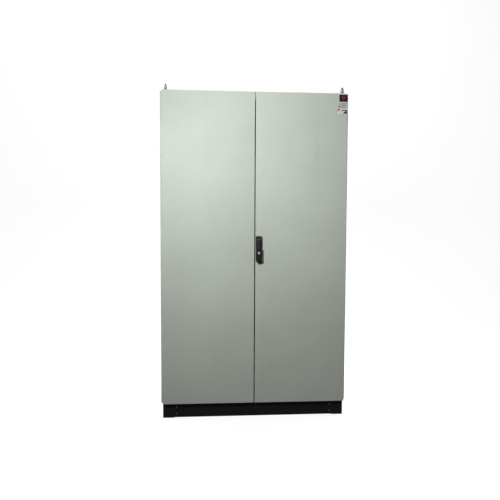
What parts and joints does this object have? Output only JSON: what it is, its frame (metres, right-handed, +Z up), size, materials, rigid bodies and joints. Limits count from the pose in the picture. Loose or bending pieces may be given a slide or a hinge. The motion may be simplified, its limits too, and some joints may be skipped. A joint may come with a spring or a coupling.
{
  "type": "variable frequency drive",
  "caption": "Floor-standing variable frequency drive cabinet with two hinged doors, swing-handle rod lock, plinth, lifting eyes, power unit, switchgear and fans inside.",
  "frame": {"origin": "centre of the four floor bolt holes, on the underside of the plinth", "axes": "+X to the right seen from the front, front of the cabinet towards -Y, +Z up"},
  "size_m": [1.2, 0.6455, 2.145],
  "materials": {
    "door_paint": "textured powder coat, light grey",
    "side_paint": "textured powder coat, light grey",
    "roof_paint": "textured powder coat, light grey",
    "rear_paint": "textured powder coat, light grey",
    "plinth_corner_paint": "matt black powder coat",
    "plinth_trim_paint": "matt black powder coat",
    "post_paint": "matt black powder coat",
    "zinc_frame": "zinc plated, satin",
    "zinc_sheet": "galvanised sheet",
    "zinc_screws": "zinc plated",
    "hinge_zinc": "die cast zinc, satin",
    "lock_zinc": "nickel plated zinc",
    "rod_zinc": "zinc plated",
    "pin_steel": "bright steel",
    "forged_steel": "zinc plated forged steel",
    "core_steel": "varnished laminations",
    "heatsink_aluminium": "extruded",
    "copper": "bare copper",
    "gland_plastic": "moulded polyamide",
    "handle_plastic": "glass-filled polyamide, black",
    "drive_sheet": "powder coat",
    "drive_cover_plastic": "moulded, light grey",
    "keypad_plastic": "moulded, dark grey",
    "module_plastic": "moulded",
    "capacitor_sleeve": "shrink sleeve",
    "board_green": "solder mask",
    "fan_plastic": "moulded, black",
    "switch_plastic": "moulded, dark grey",
    "toggle_plastic": "moulded, black",
    "light_plastic": "moulded, light grey",
    "duct_plastic": "extruded, grey",
    "cable_rubber": "insulated",
    "seal_foam": "foamed seal",
    "housing_plastic": "moulded",
    "grille_plastic": "moulded, light grey"
  },
  "bodies": {
    "cabinet": {"plinth_corners": "plinth_corner_paint", "plinth_trims": "plinth_trim_paint", "frame_posts": "zinc_frame", "frame_rails": "zinc_frame", "centre_post": "post_paint", "inner_rails": "zinc_frame", "roof_panel": "roof_paint", "left_side_panel": "side_paint", "right_side_panel": "side_paint", "rear_panel": "rear_paint", "gland_plates": "zinc_sheet", "cable_glands": "gland_plastic", "cabinet_screws": "zinc_screws", "lifting_eyes": "forged_steel", "hinge_brackets": "hinge_zinc", "hinge_pins": "pin_steel", "rod_keepers": "hinge_zinc", "mounting_plate": "zinc_sheet", "drive_chassis": "drive_sheet", "drive_cover": "drive_cover_plastic", "drive_keypad": "keypad_plastic", "heatsink": "heatsink_aluminium", "igbt_modules": "module_plastic", "dc_capacitors": "capacitor_sleeve", "control_board": "board_green", "drive_fan_frame": "fan_plastic", "breaker_body": "switch_plastic", "contactor": "switch_plastic", "copper_bars": "copper", "din_rails": "zinc_sheet", "control_gear": "light_plastic", "terminal_blocks": "light_plastic", "wire_ducts": "duct_plastic", "reactor_cores": "core_steel", "reactor_coils": "copper", "power_cables": "cable_rubber", "filter_housings": "housing_plastic", "filter_grilles": "grille_plastic"},
    "right_door": {"right_door": "door_paint", "right_door_stiffener": "zinc_frame", "right_door_gasket": "seal_foam", "right_hinge_leaves": "hinge_zinc", "right_lock_case": "hinge_zinc", "handle_base": "handle_plastic"},
    "left_door": {"left_door": "door_paint", "left_door_stiffener": "zinc_frame", "left_door_gasket": "seal_foam", "left_hinge_leaves": "hinge_zinc", "left_lock_case": "hinge_zinc"},
    "handle_hub": {"handle_hub": "handle_plastic"},
    "handle_lever": {"handle_lever": "handle_plastic"},
    "key_cylinder": {"key_cylinder": "lock_zinc"},
    "right_upper_rod": {"right_upper_rod": "rod_zinc"},
    "right_lower_rod": {"right_lower_rod": "rod_zinc"},
    "left_lock_lever": {"left_lock_lever": "lock_zinc"},
    "left_upper_rod": {"left_upper_rod": "rod_zinc"},
    "left_lower_rod": {"left_lower_rod": "rod_zinc"},
    "drive_fan_rotor": {"drive_fan_rotor": "fan_plastic"},
    "filter_fan_rotor": {"filter_fan_rotor": "fan_plastic"},
    "breaker_toggle": {"breaker_toggle": "toggle_plastic"}
  },
  "joints": [
    {"name": "right_door_hinge", "type": "hinge", "parent": "cabinet", "child": "right_door", "pos_m": [0.5775, -0.298, 1.097], "axis": [0, 0, 1], "range_deg": [0, 120]},
    {"name": "left_door_hinge", "type": "hinge", "parent": "cabinet", "child": "left_door", "pos_m": [-0.5775, -0.298, 1.097], "axis": [0, 0, -1], "range_deg": [0, 120]},
    {"name": "handle_turn", "type": "hinge", "parent": "right_door", "child": "handle_hub", "pos_m": [0.024, -0.3, 1.16], "axis": [0, -1, 0], "range_deg": [0, 90]},
    {"name": "handle_fold", "type": "hinge", "parent": "handle_hub", "child": "handle_lever", "pos_m": [0.024, -0.3315, 1.16], "axis": [-1, 0, 0], "range_deg": [0, 35]},
    {"name": "key_turn", "type": "hinge", "parent": "handle_lever", "child": "key_cylinder", "pos_m": [0.024, -0.335, 1.077], "axis": [0, -1, 0], "range_deg": [0, 90]},
    {"name": "right_upper_rod_slide", "type": "slide", "parent": "right_door", "child": "right_upper_rod", "axis": [0, 0, 1], "range_m": [-0.01178, 0]},
    {"name": "right_lower_rod_slide", "type": "slide", "parent": "right_door", "child": "right_lower_rod", "axis": [0, 0, 1], "range_m": [0, 0.01178]},
    {"name": "left_lever_turn", "type": "hinge", "parent": "left_door", "child": "left_lock_lever", "pos_m": [-0.056, -0.28, 1.16], "axis": [0, 1, 0], "range_deg": [0, 90]},
    {"name": "left_upper_rod_slide", "type": "slide", "parent": "left_door", "child": "left_upper_rod", "axis": [0, 0, 1], "range_m": [-0.01178, 0]},
    {"name": "left_lower_rod_slide", "type": "slide", "parent": "left_door", "child": "left_lower_rod", "axis": [0, 0, 1], "range_m": [0, 0.01178]},
    {"name": "drive_fan_spin", "type": "hinge", "parent": "cabinet", "child": "drive_fan_rotor", "pos_m": [-0.275, 0.133, 1.66], "axis": [0, 0, 1], "continuous": true},
    {"name": "filter_fan_spin", "type": "hinge", "parent": "cabinet", "child": "filter_fan_rotor", "pos_m": [0.28, 0.25, 0.305], "axis": [0, 1, 0], "continuous": true},
    {"name": "breaker_switch", "type": "hinge", "parent": "cabinet", "child": "breaker_toggle", "pos_m": [0.11, 0.129, 1.645], "axis": [1, 0, 0], "range_deg": [0, 50]}
  ],
  "couplings": [
    {"joint": "right_upper_rod_slide", "follows": "handle_turn", "m_per_rad": -0.0075},
    {"joint": "right_lower_rod_slide", "follows": "handle_turn", "m_per_rad": 0.0075},
    {"joint": "left_upper_rod_slide", "follows": "left_lever_turn", "m_per_rad": -0.0075},
    {"joint": "left_lower_rod_slide", "follows": "left_lever_turn", "m_per_rad": 0.0075}
  ]
}
